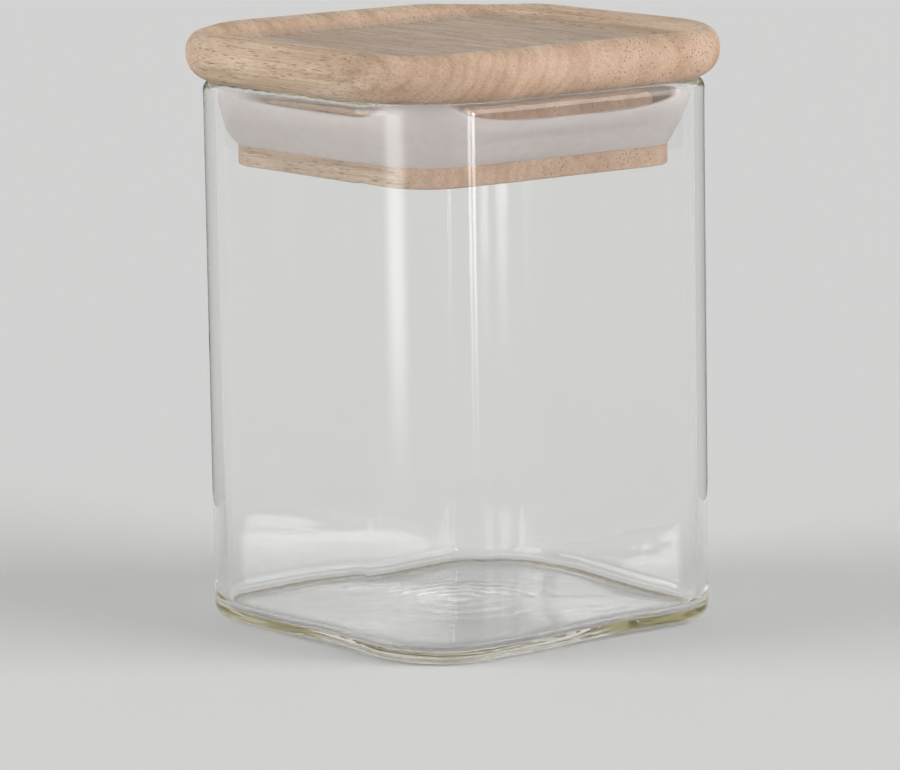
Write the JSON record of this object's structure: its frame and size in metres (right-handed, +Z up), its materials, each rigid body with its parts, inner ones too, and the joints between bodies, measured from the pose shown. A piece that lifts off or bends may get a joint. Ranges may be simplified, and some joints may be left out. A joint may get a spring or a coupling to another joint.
{
  "type": "spice jar",
  "caption": "Square glass spice jar with rounded corners, a wooden lid board on a plug and a flared silicone seal ring; the lid lifts straight off.",
  "frame": {"origin": "middle of the footprint, on the surface that the jar stands on", "axes": "+Z up along the jar's centre line; X and Y square to the flat sides; the lid's grain runs along X"},
  "size_m": [0.073, 0.073, 0.095],
  "materials": {
    "clear_glass": "clear, smooth, fire-polished rim",
    "lid_wood": "pale open-pored hardwood, sanded, thin matt oil",
    "seal_silicone": "milky translucent silicone, satin"
  },
  "bodies": {
    "jar": {"glass_jar": "clear_glass"},
    "lid": {"lid_board": "lid_wood", "lid_plug": "lid_wood", "seal_ring": "seal_silicone"}
  },
  "joints": [
    {"name": "lid_lift", "type": "slide", "parent": "jar", "child": "lid", "axis": [0, 0, 1], "range_m": [0, 0.06]}
  ]
}
